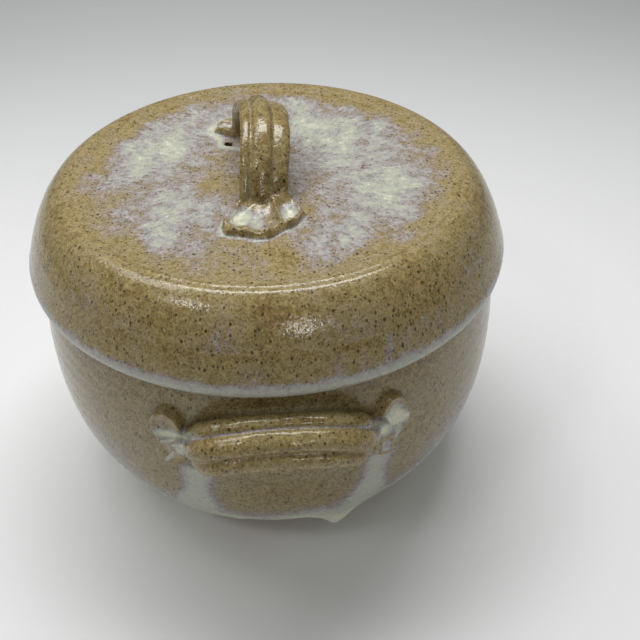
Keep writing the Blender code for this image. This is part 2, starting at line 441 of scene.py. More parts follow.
class Shader:
    """Adds nodes to a material or to the world, and drives its surface."""

    def __init__(self, owner, surface="Principled BSDF"):
        owner.use_nodes = True
        self.tree = owner.node_tree
        self.surface = self.tree.nodes[surface]

    def drive(self, inputs):
        """Sets or links inputs of the surface."""
        for key, value in inputs.items():
            self.put(self.surface.inputs[key], value)

    def node(self, kind, inputs=(), **settings):
        """A new node. Inputs are values or sockets, in order or by name."""
        made = self.tree.nodes.new("ShaderNode" + kind)
        for name, value in settings.items():
            setattr(made, name, value)
        for key, value in inputs.items() if isinstance(inputs, dict) else enumerate(inputs):
            self.put(made.inputs[key], value)
        return made

    def put(self, socket, value):
        if isinstance(value, bpy.types.NodeSocket):
            self.tree.links.new(value, socket)
        else:
            socket.default_value = value

    def math(self, operation, first, second=0.0, third=0.0):
        return self.node("Math", (first, second, third), operation=operation).outputs[0]

    def times(self, first, second):
        return self.math("MULTIPLY", first, second)

    def plus(self, total, value, share=1.0):
        """The total with a share of the value added."""
        return self.math("MULTIPLY_ADD", value, share, total)

    def vector_math(self, operation, first, second):
        return self.node("VectorMath", (first, second), operation=operation).outputs[0]

    def scaled(self, vector, scale):
        return self.vector_math("MULTIPLY", vector, scale)

    def value(self, name):
        return self.node("Attribute", attribute_name=name).outputs["Fac"]

    def vector(self, name):
        return self.node("Attribute", attribute_name=name).outputs["Vector"]

    def noise(self, vector, detail=2.0, roughness=0.5):
        """Noise centred on 0, about -0.5 to 0.5, with hills one unit of the vector wide."""
        inputs = {"Vector": vector, "Scale": 0.5, "Detail": detail, "Roughness": roughness}
        made = self.node("TexNoise", inputs)
        return self.plus(-0.8, made.outputs["Fac"], 1.6)

    def span(self, value, low, high, to_low=0.0, to_high=1.0):
        """Smoothly maps low..high to to_low..to_high."""
        inputs = (value, low, high, to_low, to_high)
        return self.node("MapRange", inputs, interpolation_type="SMOOTHSTEP").outputs[0]

    def between(self, one, other, share):
        """One where the share is 0, other where it is 1."""
        return self.span(share, 0.0, 1.0, one, other)

    def mix(self, share, one, other, blend="MIX"):
        made = self.node("Mix", data_type="RGBA", blend_type=blend)
        for socket, value in ((made.inputs[0], share), (made.inputs[6], one), (made.inputs[7], other)):
            self.put(socket, (*value, 1) if isinstance(value, tuple) else value)
        return made.outputs[2]

    def ramp(self, value, stops):
        made = self.node("ValToRGB", (value,))
        elements = made.color_ramp.elements
        elements[0].position, elements[1].position = stops[0][0], stops[-1][0]
        elements[0].color, elements[1].color = (*stops[0][1], 1), (*stops[-1][1], 1)
        for position, colour in stops[1:-1]:
            elements.new(position).color = (*colour, 1)
        return made.outputs[0]

    def specks(self, vector, share, largest):
        """Ragged dark spots: a share of the cells has one, of up to this radius in cell widths."""
        cells = self.node("TexVoronoi", {"Vector": vector, "Scale": 1.0})
        chance = self.node("SeparateColor", (cells.outputs["Color"],)).outputs[0]
        radius = self.span(chance, 1 - share, 1.0, 0.02, largest)
        present = self.math("GREATER_THAN", chance, 1 - share)
        spot = self.span(cells.outputs["Distance"], radius, self.times(radius, 0.45))
        return self.times(spot, present)


def glaze(name, streaks, lock_length=4.5, tone=1.0):
    """Speckled rutile glaze: golden where it is thin, tan, then lilac, then milky where it pools.

    Streaks is how strongly the flow draws it out into hair-like lines, and lock_length how long their
    locks are, in mm. Tone darkens its tan part.
    """
    material = bpy.data.materials.new(name)
    s = Shader(material)
    place = s.node("TexCoord").outputs["Object"]
    flow = s.vector("flow")
    pool, rise, bare, calm = (s.value(field) for field in ("pool", "rise", "bare", "calm"))
    per_mm = 1 / MM

    def spotty(size, detail, roughness):
        """Noise with hills this many mm wide."""
        return s.noise(s.scaled(place, (per_mm / size,) * 3), detail, roughness)

    def drawn_out(width, length, detail, roughness):
        """Noise with streaks this many mm wide and long, along the flow."""
        scale = (per_mm / width, per_mm / width, per_mm / length)
        return s.noise(s.scaled(flow, scale), detail, roughness)

    hair = drawn_out(0.80, 2.6, 3, 0.6)
    lock = drawn_out(2.2, lock_length, 2, 0.5)
    cloud = spotty(7, 3, 0.55)
    grain = spotty(0.55, 2, 0.6)
    mottle = spotty(1.6, 2, 0.6)

    # Thickness, which picks the colour.
    lively = s.span(pool, 0.30, 0.55, 0.42, 1.0)
    lively = s.times(lively, s.span(pool, 0.80, 0.93, 1.0, 0.12))
    lively = s.times(lively, s.between(1.0, 0.1, calm))
    thick = s.plus(pool, hair, s.times(lively, 0.85 * streaks))
    thick = s.plus(thick, lock, s.times(lively, 0.45 * streaks))
    thick = s.plus(thick, cloud, s.times(lively, 0.22))
    thick = s.plus(thick, mottle, s.plus(s.between(0.08, 0.02, calm), lively, 0.16))
    thick = s.plus(thick, grain, s.between(0.12, 0.04, calm))
    edge = s.math("MINIMUM", s.math("MAXIMUM", rise, -MOST_RISE), MOST_RISE)
    thick = s.plus(thick, edge, -0.50)
    milky = s.span(thick, 0.50, 0.80)

    # Iron specks in three sizes, with ragged outlines.
    tiny = s.scaled(place, (per_mm / 0.5,) * 3)
    ragged = s.node("TexNoise", {"Vector": tiny, "Scale": 1.0, "Detail": 1.0})
    shift = s.vector_math("SUBTRACT", ragged.outputs["Color"], (0.5, 0.5, 0.5))
    scattered = s.vector_math("ADD", place, s.scaled(shift, (0.5 * MM,) * 3))

    def specks(size, share, largest):
        scale = (per_mm / size, per_mm / size, per_mm * SPECK_STRETCH / size)
        return s.specks(s.scaled(scattered, scale), share, largest)

    fine = s.times(specks(0.95, 0.75, 0.48), 0.78)
    coarse = s.math("MAXIMUM", specks(2.0, 0.80, 0.40), specks(4.2, 0.60, 0.24))
    peppered = s.math("MAXIMUM", fine, coarse)
    flecks = s.times(peppered, s.between(0.88, 0.42, milky))

    colour = s.ramp(thick, GLAZE_COLOURS)
    shade = s.times(s.plus(grain, mottle, 0.5), 0.85)
    shade = s.plus(s.between(tone, 1.0, milky), shade, s.between(1.0, 0.35, milky))
    grey = s.node("CombineColor", (shade,) * 3).outputs[0]
    colour = s.mix(1.0, colour, grey, "MULTIPLY")
    colour = s.mix(flecks, colour, s.mix(milky, SPECK_COLOUR, FLECK_COLOUR))
    clay = s.mix(s.plus(0.5, grain, 0.8), CLAY_COLOUR, DARK_CLAY_COLOUR)
    clay = s.mix(s.times(peppered, 0.7), clay, SPECK_COLOUR)
    bareness = s.span(s.plus(bare, mottle, 0.3), 0.35, 0.65)
    colour = s.mix(bareness, colour, clay)

    rough = s.plus(GLAZE_ROUGHNESS, mottle, 0.12)
    rough = s.plus(rough, s.span(thick, 0.45, 0.85, 0.0, 0.16))
    rough = s.plus(rough, flecks, 0.14)
    rough = s.node("Mix", {0: bareness, 2: rough, 3: CLAY_ROUGHNESS}).outputs[0]

    # Orange-peel skin, in mm.
    height = s.times(spotty(2.6, 2, 0.5), 0.050)
    height = s.plus(height, spotty(0.8, 1, 0.5), 0.060)
    height = s.plus(height, grain, 0.030)
    height = s.plus(height, mottle, 0.050)
    height = s.plus(height, hair, s.times(lively, 0.020))
    height = s.plus(height, flecks, -0.012)
    relief = s.node("Bump", {"Strength": 1.0, "Distance": MM, "Height": height})

    s.drive({"Base Color": colour, "Roughness": rough, "Normal": relief.outputs[0], "IOR": GLAZE_IOR})
    return material


# ---- bowl

# Glaze that ran down from the ends of the straps: (azimuth, half width, lean of the run).
RUNS = (
    (radians(-18.6), 7.6 * MM, -0.15),
    (radians(22.6), 7.4 * MM, -0.12),
    (radians(180 - 22), 6 * MM, -0.05),
    (radians(180 + 21), 7 * MM, 0.05),
)
RUN_TOP = 92 * MM
DRIP_AZIMUTH = radians(13.8)
FLOW_RADIUS = 0.12


def glaze_edge(azimuth):
    """Height at which the glaze stops above the foot."""
    wave = 1.6 * np.sin(3 * azimuth + 0.8) + 1.1 * np.sin(7 * azimuth + 2.1)
    wave += 0.7 * np.sin(13 * azimuth)
    drip = 6.0 * bump(turn_gap(azimuth, DRIP_AZIMUTH), 0, radians(4.0))
    bare_spot = 15.0 * bump(turn_gap(azimuth, radians(-13.5)), 0, radians(3.4))
    return (12.5 + wave - drip + bare_spot) * MM


def run_share(azimuth, height):
    """How much a point of the wall lies in a run of glaze, 0 to 1."""
    total = np.zeros_like(azimuth)
    for centre, half_width, lean in RUNS:
        middle = centre + lean * (RUN_TOP - height) / RIM_RADIUS
        spread = half_width * (1 + 0.60 * ease_mm(height, 78, 42))
        distance = np.abs(turn_gap(azimuth, middle)) * RIM_RADIUS
        wobble = 0.9 * MM * np.sin(height / (6.5 * MM) + 9 * centre)
        share = ease(distance + wobble, spread * 1.65, spread * 0.60)
        total = np.maximum(total, share * ease_mm(RUN_TOP - height, 0, 7))
    return total


def drip_share(azimuth, height):
    """The thick drop that hangs from the glaze's lower edge in front."""
    radius = wall_radius(height)
    across = turn_gap(azimuth, DRIP_AZIMUTH) * radius
    width = (3.6 + 8.0 * ease_mm(height, 15, 36)) * MM
    along = ease_mm(height, 10, 14.5) * ease_mm(height, 50, 16)
    return bump(across, 0, width) * along


def wall_pool(points, azimuth, height):
    """Thickness of the glaze on the outer wall: it gathers towards the foot, from higher up at the sides,
    and is thinned just under the lid as painted shade.
    """
    side = ease(np.abs(turn_gap(azimuth, 0)), radians(26), radians(46))
    side = side * ease(np.abs(turn_gap(azimuth, pi)), radians(20), radians(46))
    unrolled = np.c_[azimuth * RIM_RADIUS, height * 0.12]
    sway = 2.5 * MM * drift(unrolled, 10, 3) + 6 * MM * drift(unrolled, 24, 4)
    level = height + sway * (0.35 + 0.65 * side)
    front_pool = 0.25 * ease_mm(level, 57, 46) + 0.35 * ease_mm(level, 46, 35)
    side_pool = 0.20 * ease_mm(level, 96, 60) + 0.38 * ease_mm(level, 64, 30)
    pool = TAN_POOL + front_pool * (1 - side) + side_pool * side
    # Painted shade: a thinner, darker pool on the wall just under the lid, and most of all by the seam,
    # stands in for the lid's shadow.
    pool -= 0.13 * ease_mm(height, 118, 132) + 0.10 * ease_mm(height, 134, 139)
    pool = np.maximum(pool, MILKY_POOL * run_share(azimuth, height))
    return pool + 0.03 * drift(points, 16, 5)


def make_bowl():
    profile = bowl_profile()
    rim_ring = int(np.argmax(profile[:, 1]))

    def relief(radius, height, turn, ring):
        outside = ring > rim_ring
        spiral = np.sin(2 * pi * ring * PROFILE_STEP / (8.5 * MM) - turn)
        inner = 0.22 * MM * spiral * ease_mm(radius, 10, 30)
        edge = glaze_edge(turn)
        glazed = ease_mm(height - edge, -0.5, 0.6)
        roll = bump_mm(height - edge, 1.6, 1.8)
        coat = 0.25 * MM * glazed + 0.45 * MM * roll
        run = 0.35 * MM * run_share(turn, height) * glazed
        drip = 7.5 * MM * drip_share(turn, height)
        hand = 0.05 * MM * spiral + 0.25 * MM * np.sin(2 * turn + 0.4 + height / (30 * MM))
        return np.where(outside, coat + run + drip + hand * glazed, inner)

    mesh = turned("pot_body", profile, relief)
    points = coordinates(mesh)
    radius, azimuth = polar(points)
    height = points[:, 2]
    ring = np.r_[np.repeat(np.arange(1, len(profile) - 1), AROUND), 0, len(profile)]
    outside = ring > rim_ring

    inside_pool = TAN_POOL + 0.25 * ease_mm(height, 50, 22) + 0.10 * drift(points, 20, 6)
    pool = np.where(outside, wall_pool(points, azimuth, height), inside_pool)
    pool = smoothed(mesh, pool[:, None], 10)[:, 0]
    pool = np.maximum(pool, outside * ease(drip_share(azimuth, height), 0.1, 0.5))
    foot = outside & ((height < glaze_edge(azimuth)) | (radius < WALL[-1, 0]))
    rim = bump_mm(height - RIM_Z, 0, 0.9) * (radius > RIM_RADIUS - RIM_THICKNESS + 0.8 * MM)
    rim = rim * (radius < RIM_RADIUS - 0.6 * MM)
    in_run = ease(run_share(azimuth, height), 0.0, 0.35)
    calm = np.maximum(in_run, ease(pool, 0.42, 0.62)) * outside
    calm = smoothed(mesh, calm[:, None], 6)[:, 0]
    above_foot = np.where(outside, ease_mm(height, 16, 32), 1)
    set_fields(
        mesh,
        downhill(FLOW_RADIUS, azimuth, height),
        pool=pool,
        bare=np.maximum(foot.astype(float), rim),
        calm=calm,
        rise=convexity(mesh, 12) / MM * above_foot * (1 - calm),
    )
    # Painted shade: the bowl's copy of the glaze has a darker tan than the lid's, for the shade on its
    # sideways-facing walls.
    material = glaze("bowl_glaze", streaks=0.13, lock_length=26.0, tone=0.76)
    finished("casserole_bowl", mesh, "pot", "pot_body", material)


# ---- lid

# Where the disc's glaze lies thicker or thinner: (x, y, size, strength), the first three in mm.
PATCHES = (
    (-55, 25, 23, 0.40), (-70, 5, 14, 0.10), (-44, -32, 22, 0.24), (-50, -58, 16, 0.20),
    (-55, 60, 18, 0.16), (-28, 66, 16, 0.16), (28, 44, 20, 0.38), (22, 74, 16, 0.26),
    (55, 34, 22, 0.20), (42, 8, 22, 0.24), (61, -20, 20, 0.36), (50, -45, 16, 0.18),
    (28, -64, 15, 0.30), (-24, -12, 14, -0.28), (-27, 16, 9, -0.22), (4, -78, 9, -0.22),
    (46, 24, 5, -0.22), (51, -1, 5, -0.20), (35, 57, 5, -0.14), (-78, -24, 13, -0.22),
    (-66, -48, 9, -0.20), (18, -38, 8, -0.25),
)


def disc_pool(points):
    """Thickness of the glaze on the disc, with what has pooled round the handle's feet and the vent, and a
    painted shade line at the far side of the lip's step.
    """
    radius, azimuth = polar(points)
    edge = radius + 4 * MM * drift(points[:, :2], 12, 12)
    ring = ease_mm(edge, 94, 80)
    front = bump(turn_gap(azimuth, radians(-4)), 0, radians(24)) * ease_mm(radius, 48, 62)
    total = 0.34 + 0.215 * ring * (1 - 0.75 * front)
    x, y, _ = points.T / MM
    for at_x, at_y, size, strength in PATCHES:
        away = np.hypot(x - at_x, y - at_y)
        total += 0.78 * strength * bump(away, 0, 0.88 * size) * ease_mm(edge, 92, 76)
    total += 0.05 * drift(points[:, :2], 8, 11)
    # Painted shade: a dark line at the foot of the lip's step on the far side, where the step's face lies in
    # shade.
    far_step_shade = ease(np.abs(turn_gap(azimuth, pi)), radians(75), radians(30))
    total -= 0.22 * far_step_shade * bump_mm(radius, 90.6, 1.1)
    a = x - FRONT_FOOT_AT[0]
    b = y - FRONT_FOOT_AT[1]
    beyond = np.hypot(a, b) - outline_radius(FRONT_FOOT, np.arctan2(b, a))
    meniscus = 0.9 * bump(beyond, 1.0, 1.3) * ease(b, 2.0, -8.0)
    total += (MILKY_POOL - total) * meniscus
    halo = np.zeros(len(points))
    for start, end in zip(REAR_HALO, REAR_HALO[1:]):
        halo = np.maximum(halo, ridge(x, y, start, end, 2.8))
    total += (0.93 - total) * halo
    return total


def shoulder_pool(azimuth, height):
    """(thickness of the glaze on the lid's shoulder, share of the milky band at its lower edge)."""
    unrolled = np.c_[azimuth * LID_RADIUS, height]
    pool = 0.34 + 0.05 * drift(unrolled, 14, 21)
    lilac = bump(turn_gap(azimuth, radians(26)), 0, radians(16))
    lilac += 0.8 * bump(np.abs(turn_gap(azimuth, 0)), radians(88), radians(24))
    lilac += 0.7 * bump(turn_gap(azimuth, radians(160)), 0, radians(30))
    low = ease_mm(CREST_Z - height, 6, 18)
    streaked = drift(unrolled * (1, 0.12), 4, 25)
    pool += 0.13 * lilac * low * (0.75 + 0.7 * streaked)
    band_top = 147 * MM + 0.5 * MM * drift(unrolled * (1, 0), 7, 23)
    band = ease(height, band_top, band_top - 3.6 * MM)
    return pool + (MILKY_POOL - pool) * band, band


def with_vent(mesh):
    """The lid's mesh with the steam vent drilled through it."""
    bm = bmesh.new()
    bmesh.ops.create_cone(
        bm, cap_ends=True, segments=40, radius1=VENT_RADIUS, radius2=VENT_RADIUS, depth=4 * DISC_THICKNESS
    )
    drill = scene_object("drill", mesh_of(bm, "drill"))
    drill.location = VENT
    lid = scene_object("lid_turned", mesh)
    cut = lid.modifiers.new("vent", "BOOLEAN")
    cut.operation = "DIFFERENCE"
    cut.object = drill
    bpy.context.view_layer.update()
    mesh = evaluated(lid, "lid")
    bpy.data.objects.remove(drill, do_unlink=True)
    return mesh


def make_lid():
    profile = lid_profile()
    outer = profile[:, 0] > RIM_RADIUS
    edge_ring = int(np.argmin(np.where(outer, profile[:, 1], 1)))

    def relief(radius, height, turn, ring):
        top = ring < edge_ring
        disc = ease_mm(radius, 95, 90) * top
        spiral = np.sin(2 * pi * ring * PROFILE_STEP / (9 * MM) - turn)
        lip = 0.17 * bump_mm(radius, 97.2, 0.9) + 0.11 * bump_mm(radius, 102.0, 1.2)
        lip = (lip - 0.12 * bump_mm(radius, 99.5, 1.4)) * MM
        pooled = 0.25 * MM * ease_mm(height - BULGE_Z, 6, 0)
        hand = 0.12 * MM * np.sin(2 * turn + 1.0) + 0.04 * MM * spiral
        shoulder = (lip + pooled + hand) * ease_mm(radius, 90, 94)
        flat = 0.02 * MM * spiral - 0.2 * MM * ease_mm(radius, 85, 30)
        below = 0.10 * MM * spiral * ease_mm(height - SEAT_Z, 8, 12)
        return np.where(top, shoulder + flat * disc, below)

    mesh = with_vent(turned("lid_turned", profile, relief))
    points = coordinates(mesh)
    radius, azimuth = polar(points)
    height = points[:, 2]
    normal = vertex_normals(mesh)
    sideways = normal[:, 0] ** 2 + normal[:, 1] ** 2 > 0.05
    top = (height > DISC_Z - 2 * MM) | ((radius > RIM_RADIUS) & sideways)
    shoulder, band = shoulder_pool(azimuth, height)
    blend_out = ease_mm(radius, 90, 100)
    pool = disc_pool(points) * (1 - blend_out) + shoulder * blend_out
    pool = np.where(top, pool, TAN_POOL + 0.08 * drift(points, 20, 24))
    # Painted shade: the vent hole's inside gets a pool below 0, so its glaze shows near black.
    in_vent = np.hypot(points[:, 0] - VENT.x, points[:, 1] - VENT.y) < VENT_RADIUS + 0.1 * MM
    seat = (height < SEAT_Z + 1.5 * MM) & (radius < RIM_RADIUS + 1.2 * MM) & (radius > 100 * MM)
    run = radius + 0.9 * (CREST_Z - height) * ease_mm(radius - LIP_RADIUS, 0, 4)
    spin = 0.06 + 0.06 * ease_mm(radius, 86, 104)
    set_fields(
        mesh,
        downhill(spin, azimuth, run),
        pool=np.where(in_vent, -0.2, pool),
        bare=seat.astype(float),
        calm=band * (radius > 100 * MM),
        rise=convexity(mesh, 12) / MM,
    )
    finished("casserole_lid", mesh, "lid", "lid", glaze("lid_glaze", streaks=0.42, tone=0.92))


# ---- straps

STRAP_WIDTH = 24.5 * MM
STRAP_THICKNESS = 9.5 * MM
VOXEL = 0.55 * MM

# How far a pressed end reaches under the surface it is pressed on, in mm.
PAD_DEPTH = 1.6

# Ribs along the face of a strap: middle and half width as shares of half the strap's width, height
# as a share of the tallest rib's, and how much lower the far edge lies than the near one.
ARCH_RIBS = ((-0.79, 0.21, 0.75, 0), (-0.13, 0.41, 1, 0), (0.65, 0.35, 0.40, 0.24))
LOOP_RIBS = ((-0.73, 0.27, 0.66, 0), (0.02, 0.43, 1, 0), (0.74, 0.26, 0.92, 0))


def strap_section(ribs, depth, crown, steps=14):
    """Outline of a strap, as (across, out) shares of half its width and of its thickness.

    Depth is how far the grooves lie below the tallest rib, crown how far the edges curl back.
    """
    groove = 0.5 - depth / STRAP_THICKNESS
    face = []
    for middle, half, height, fall in ribs:
        for step in range(steps + 1):
            angle = pi * step / steps
            out = groove + (0.5 - groove) * height * sin(angle) ** 0.62 - fall * step / steps
            face.append((middle - half * cos(angle), out))
    turn = np.linspace(0, pi, 24)[1:-1]
    back = [(cos(a), groove - (0.5 + groove) * sin(a) ** 0.7) for a in turn]
    outline = np.array([*face, *back])
    outline[:, 1] -= crown / STRAP_THICKNESS * outline[:, 0] ** 2
    return outline


def share_from_end(places):
    """How far each place along a strap is from its nearer end, as a share of the strap."""
    share = np.linspace(0, 1, len(places[0]))
    return np.minimum(share, 1 - share)


def skinned(bm, rings):
    """Joins each ring of vertices to the next one."""
    for ring, following in zip(rings, rings[1:]):
        for step in range(len(ring)):
            after = (step + 1) % len(ring)
            bm.faces.new((ring[step], ring[after], following[after], following[step]))


def swept(bm, section, places, wide, thick):
    """Adds a closed strap to a bmesh. Wide and thick scale the section at each place."""
    rings = []
    for centre, side, up, w, h in zip(*places, wide, thick):
        corners = [
            centre + side * (a * STRAP_WIDTH / 2 * w) + up * (b * STRAP_THICKNESS * h) for a, b in section
        ]
        rings.append([bm.verts.new(corner) for corner in corners])
    skinned(bm, rings)
    bm.faces.new(rings[0])
    bm.faces.new(reversed(rings[-1]))


def outline_radius(outline, angle):
    """Distance from (0, 0) to a rounded closed outline of points, at these angles."""
    points = np.array(outline)
    turns = np.arctan2(points[:, 1], points[:, 0])
    order = np.argsort(turns)
    turns, radii = turns[order], np.hypot(*points.T)[order]
    turns = np.r_[turns - 2 * pi, turns, turns + 2 * pi]
    radii = np.tile(radii, 3)
    total = 0
    for shift in np.linspace(-0.16, 0.16, 9):
        total += np.interp(turn_gap(angle + shift, 0), turns, radii) / 9
    return total


def pad(bm, place, outline, height, rings=34, spokes=150):
    """Adds a sheet of pressed clay. Place maps (a, b, out) in mm to a point, a and b along the surface.

    Height(a, b, share) is the sheet's height in mm, where share is 1 at the outline. The sheet's edge
    dives under the surface.
    """
    angles = turn_gap(np.arange(spokes) * (2 * pi / spokes), 0)
    reach = outline_radius(outline, angles)
    shares = np.linspace(0, 1.12, rings)[1:]
    rows = []
    for share in shares:
        a = share * reach * np.cos(angles)
        b = share * reach * np.sin(angles)
        lift = height(a, b, np.full(spokes, share)) * ease(share, 1.06, 0.90)
        lift -= PAD_DEPTH * ease(share, 0.96, 1.12)
        rows.append([bm.verts.new(place(*corner)) for corner in zip(a, b, lift)])
    zero = np.zeros(1)
    top = bm.verts.new(place(0, 0, height(zero, zero, zero)[0]))
    bottom = bm.verts.new(place(0, 0, -PAD_DEPTH))
    skinned(bm, rows)
    for step in range(spokes):
        after = (step + 1) % spokes
        bm.faces.new((top, rows[0][step], rows[0][after]))
        bm.faces.new((bottom, rows[-1][after], rows[-1][step]))


def dished(a, b, dents):
    """How deep dents are pressed at (a, b): each is (a, b, half a, half b, depth)."""
    total = np.zeros_like(a)
    for at_a, at_b, half_a, half_b, depth in dents:
        away = np.hypot((a - at_a) / half_a, (b - at_b) / half_b)
        total = np.maximum(total, depth * ease(away, 1.12, 0.35))
    return total


def ridge(a, b, start, end, width):
    """A thin ridge between two places, 1 on its line."""
    start, end = np.array(start), np.array(end)
    along = end - start
    t = np.clip(((a - start[0]) * along[0] + (b - start[1]) * along[1]) / (along @ along), 0, 1)
    away = np.hypot(a - start[0] - t * along[0], b - start[1] - t * along[1])
    return bump(away, 0, width)


def melted(name, bm, rounds=4):
    """One smooth skin round everything in a bmesh, as glaze and wet clay leave it."""
    bmesh.ops.recalc_face_normals(bm, faces=bm.faces)
    obj = scene_object(name, mesh_of(bm, name))
    remesh = obj.modifiers.new("skin", "REMESH")
    remesh.mode = "VOXEL"
    remesh.voxel_size = VOXEL
    bpy.context.view_layer.update()
    mesh = evaluated(obj, name)
    set_coordinates(mesh, smoothed(mesh, coordinates(mesh), rounds))
    return mesh


def along_strap(points, places):
    """(share along, across in half widths, out in metres) of points near a strap's middle line."""
    centres, across, out = (np.array(part) for part in places)
    nearest = np.argmin(((points[:, None, :] - centres[None]) ** 2).sum(2), 1)
    offset = points - centres[nearest]
    side = np.einsum("ij,ij->i", offset, across[nearest]) / (STRAP_WIDTH / 2)
    proud = np.einsum("ij,ij->i", offset, out[nearest])
    return nearest / (len(centres) - 1), side, proud


# Lid handle: an arch whose ends are thumbed down on the lid. ARCH_X, how far it lies aside, slants
# and bows, and the outlines and dents of its feet are in mm.
ARCH_CENTRE_Y = 5.2 * MM
ARCH_HALF_SPAN = 36 * MM
ARCH_RISE = arch_high.z - DISC_Z - STRAP_THICKNESS / 2 - 0.3 * MM
ARCH_X = (0.6, -2.1, -4.3)

FRONT_FOOT_AT = (-3, -40)
FRONT_FOOT = (
    (15.5, 7), (19.5, -1.5), (17.5, -9.5), (12, -14), (8, -15), (5, -19.5),
    (-1, -21.8), (-7, -20), (-10, -17.6), (-14.5, -18), (-19.5, -14), (-17, -6),
    (-13.5, 1), (-10, 9), (0, 12), (10, 11),
)
FRONT_DENTS = ((-9.6, -5, 8.6, 9.8, 2), (-0.2, -8.5, 8.6, 11, 2), (12.6, -3, 6.2, 9.4, 2))
REAR_FOOT_AT = (-7, 46)
REAR_FOOT = (
    (13, -8), (17, 0), (15, 8), (6, 14), (-4, 14.5), (-12, 10),
    (-18, 6), (-21.5, 1), (-17, -4.5), (-11, -8.5), (0, -11),
)
REAR_DENTS = ((-14, 1, 6.6, 4.6, 1.6), (0, 9, 7, 6, 1.6), (11, 3, 5.5, 6, 1.6))

# The line along which glaze has pooled round the rear foot and the vent, in mm.
REAR_HALO = (
    (-15, 61), (-23, 57), (-29, 50), (-28.5, 43), (-24.5, 35), (-22.8, 28), (-18, 25.5), (-12, 23)
)


def arch_places(steps=90):
    """(centres, across, out) along the arch, from its front foot to its rear one."""
    centres, across, out = [], [], []
    straight, slope, bow = ARCH_X
    for step in range(steps + 1):
        angle = pi * step / steps
        along = -cos(angle)
        x = (straight + slope * along + bow * along**2) * MM
        y = ARCH_CENTRE_Y + ARCH_HALF_SPAN * along
        centres.append(Vector((x, y, DISC_Z + ARCH_RISE * sin(angle))))
        across.append(Vector((1, 0, 0)))
        out.append(Vector((0, -ARCH_RISE * cos(angle), ARCH_HALF_SPAN * sin(angle))).normalized())
    return centres, across, out


def front_foot_height(a, b, share):
    turn = np.arctan2(b, a)
    scallop = 0.5 * np.sin(9 * turn + 1.0) + 0.3 * np.sin(16 * turn)
    rim = (0.9 + scallop) * bump(share, 0.90, 0.10)
    climb = 5.0 * ease(b, 3.0, 10.0) * bump(a, 1.0, 13.0)
    crease = 2.4 * ridge(a, b, (5.4, 5.0), (8.6, -12.0), 0.9)
    return 2.8 + rim - dished(a, b, FRONT_DENTS) + climb + crease


def rear_foot_height(a, b, share):
    climb = 5.0 * ease(b, -2.0, -9.0) * bump(a, 0.0, 12.0)
    crease = 1.6 * ridge(a, b, (-8.0, -1.0), (-7.0, 9.0), 1.4)
    return 2.7 + 0.6 * bump(share, 0.90, 0.10) - dished(a, b, REAR_DENTS) + climb + crease


def on_disc(foot_at):
    """Maps (a, b, out) in mm round a place on the disc to a point."""
    x, y = foot_at
    return lambda a, b, out: Vector(((x + a) * MM, (y + b) * MM, DISC_Z + out * MM))


def arch_pool(points, places):
    """Thickness of the glaze on the lid handle: milky in the thumb marks and round the feet."""
    x, y, _ = points.T / MM
    height = points[:, 2]
    _, side, proud = along_strap(points, places)
    dent = np.zeros(len(points))
    for (at_x, at_y), dents in ((FRONT_FOOT_AT, FRONT_DENTS), (REAR_FOOT_AT, REAR_DENTS)):
        dent = np.maximum(dent, dished(x - at_x, y - at_y, dents) / 2.2)
    low = ease_mm(height - DISC_Z, 7.5, 4.5)
    spokes = np.sin(26 * np.arctan2(x + 2, -y - 38))
    centre_dent = bump(x, 0.5, 4.6) * bump(y, -47.0, 9.0) * (1 - 0.18 * spokes)
    groove = (bump(side, -0.54, 0.05) + 0.5 * bump(side, 0.38, 0.10)) * (proud > 0)
    pool = 0.27 + 0.06 * groove + 0.70 * dent * low * (1 - 0.85 * centre_dent)
    pool += 0.04 * drift(points, 6, 42)
    skirt = ease_mm(height - DISC_Z, 1.2, 0.1)
    return pool + 0.40 * skirt * (1 - dent)


def make_lid_handle():
    bm = bmesh.new()
    places = arch_places()
    from_end = share_from_end(places)
    wide = 0.98 - 0.02 * ease(from_end, 0.40, 0.06)
    thick = 1.0 + 0.22 * ease(from_end, 0.12, 0.0)
    swept(bm, strap_section(ARCH_RIBS, 3.4 * MM, 0.8 * MM), places, wide, thick)
    pad(bm, on_disc(FRONT_FOOT_AT), FRONT_FOOT, front_foot_height)
    pad(bm, on_disc(REAR_FOOT_AT), REAR_FOOT, rear_foot_height)
    mesh = melted("lid_handle", bm)
    points = coordinates(mesh)
    rough = 0.14 * drift(points, 4, 41)
    rough += 0.30 * drift(points, 2.2, 43) * ease_mm(points[:, 2] - DISC_Z, 9, 5)
    points += vertex_normals(mesh) * (rough * MM)[:, None]
    points[:, 2] = np.maximum(points[:, 2], DISC_Z - 0.8 * MM)
    set_coordinates(mesh, points)
    set_fields(mesh, points, pool=arch_pool(points, places), rise=convexity(mesh, 8) / MM)
    material = glaze("arch_glaze", streaks=0.10, tone=0.88)
    finished("casserole_lid_handle", mesh, "lid", "lid_handle", material)


# Side handles: a loop that leaves the wall and climbs to just under the lid.
LOOP_ROOT_AZIMUTH = radians(19.8)
LOOP_ROOT_Z = 101 * MM
LOOP_APEX_OUT = 134.3 * MM
LOOP_APEX_Z = 121.5 * MM
LOOP_APEX_TANGENT = 33 * MM
LOOP_TILT = radians(46)


def oval(half_a, half_b, wave=0.0):
    """Outline points of an oval, slightly scalloped."""
    turns = np.arange(24) * (2 * pi / 24)
    swell = 1 + wave * np.cos(3 * turns + 0.7)
    return [(half_a * k * cos(t), half_b * k * sin(t)) for t, k in zip(turns, swell)]


